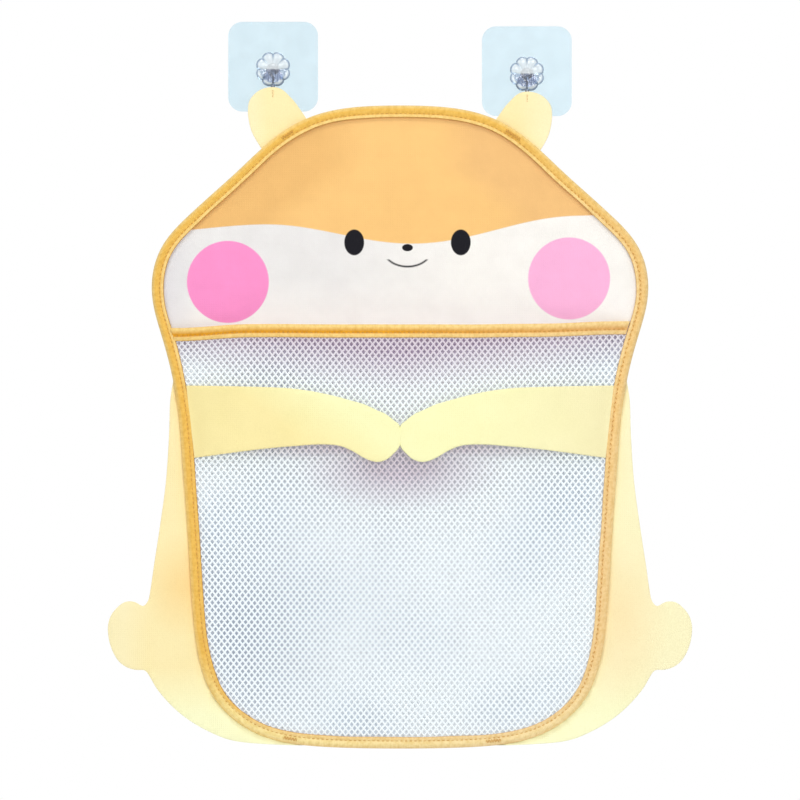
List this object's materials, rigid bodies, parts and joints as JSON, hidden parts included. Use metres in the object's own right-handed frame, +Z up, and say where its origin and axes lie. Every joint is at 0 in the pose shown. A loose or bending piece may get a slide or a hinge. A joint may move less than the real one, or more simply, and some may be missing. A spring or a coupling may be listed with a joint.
{
  "type": "bath toy organizer",
  "caption": "Animal-shaped hanging mesh bag for bath toys, with a printed face panel, bound edge, arm flaps and ears, hung by cord loops on swivelling stick-on wall hooks.",
  "frame": {"origin": "on the wall, midway between the two hook pivots", "axes": "+Z up, +Y into the wall, so the front faces -Y, and +X to the viewer's right"},
  "size_m": [0.3898, 0.0446, 0.4858],
  "materials": {
    "adhesive_gel": "soft clear adhesive gel",
    "clear_plate": "clear moulded sheet with a slight blue tint",
    "clear_boss": "clear moulded plastic",
    "hook_steel": "bright drawn stainless wire",
    "loop_cord": "braided cord and sewn tape",
    "pale_cloth": "pale yellow brushed knit",
    "printed_cloth": "printed smooth polyester",
    "binding_tape": "golden bias tape",
    "knitted_net": "white warp-knitted net",
    "arm_cloth": "pale yellow brushed knit, double"
  },
  "bodies": {
    "wall_mounts": {"left_adhesive_pad": "adhesive_gel", "right_adhesive_pad": "adhesive_gel", "left_plate": "clear_plate", "right_plate": "clear_plate", "left_flower_boss": "clear_boss", "right_flower_boss": "clear_boss", "left_pivot_pin": "hook_steel", "right_pivot_pin": "hook_steel"},
    "left_hook": {"left_wire_hook": "hook_steel"},
    "right_hook": {"right_wire_hook": "hook_steel"},
    "left_hanger": {"left_loop": "loop_cord", "left_loop_tab": "loop_cord"},
    "right_hanger": {"right_loop": "loop_cord", "right_loop_tab": "loop_cord"},
    "ears": {"left_ear": "pale_cloth", "right_ear": "pale_cloth"},
    "bag": {"body_panel": "pale_cloth", "face_panel": "printed_cloth", "edge_binding": "binding_tape", "pocket_net": "knitted_net", "pocket_hem": "binding_tape", "left_arm": "arm_cloth", "right_arm": "arm_cloth"}
  },
  "joints": [
    {"name": "left_hook_swing", "type": "hinge", "parent": "wall_mounts", "child": "left_hook", "pos_m": [-0.0848, -0.0048, 0.0015], "axis": [0, -1, 0], "range_deg": [-30, 30]},
    {"name": "right_hook_swing", "type": "hinge", "parent": "wall_mounts", "child": "right_hook", "pos_m": [0.0848, -0.0048, -0.0015], "axis": [0, -1, 0], "range_deg": [-30, 30]},
    {"name": "left_loop_lift", "type": "slide", "parent": "left_hook", "child": "left_hanger", "axis": [0, 0, 1], "range_m": [0, 0.007]},
    {"name": "right_loop_lift", "type": "slide", "parent": "right_hook", "child": "right_hanger", "axis": [0, 0, 1], "range_m": [0, 0.007]},
    {"name": "ears_level", "type": "hinge", "parent": "left_hanger", "child": "ears", "pos_m": [-0.0848, -0.0094, -0.0138], "axis": [0, -1, 0], "range_deg": [-30, 30]},
    {"name": "bag_swing", "type": "hinge", "parent": "ears", "child": "bag", "pos_m": [0, -0.0094, -0.0153], "axis": [-1, 0, 0], "range_deg": [0, 60]}
  ],
  "couplings": [
    {"joint": "right_hook_swing", "follows": "left_hook_swing", "ratio": 1},
    {"joint": "right_loop_lift", "follows": "left_loop_lift", "ratio": 1},
    {"joint": "ears_level", "follows": "left_hook_swing", "ratio": -1}
  ]
}
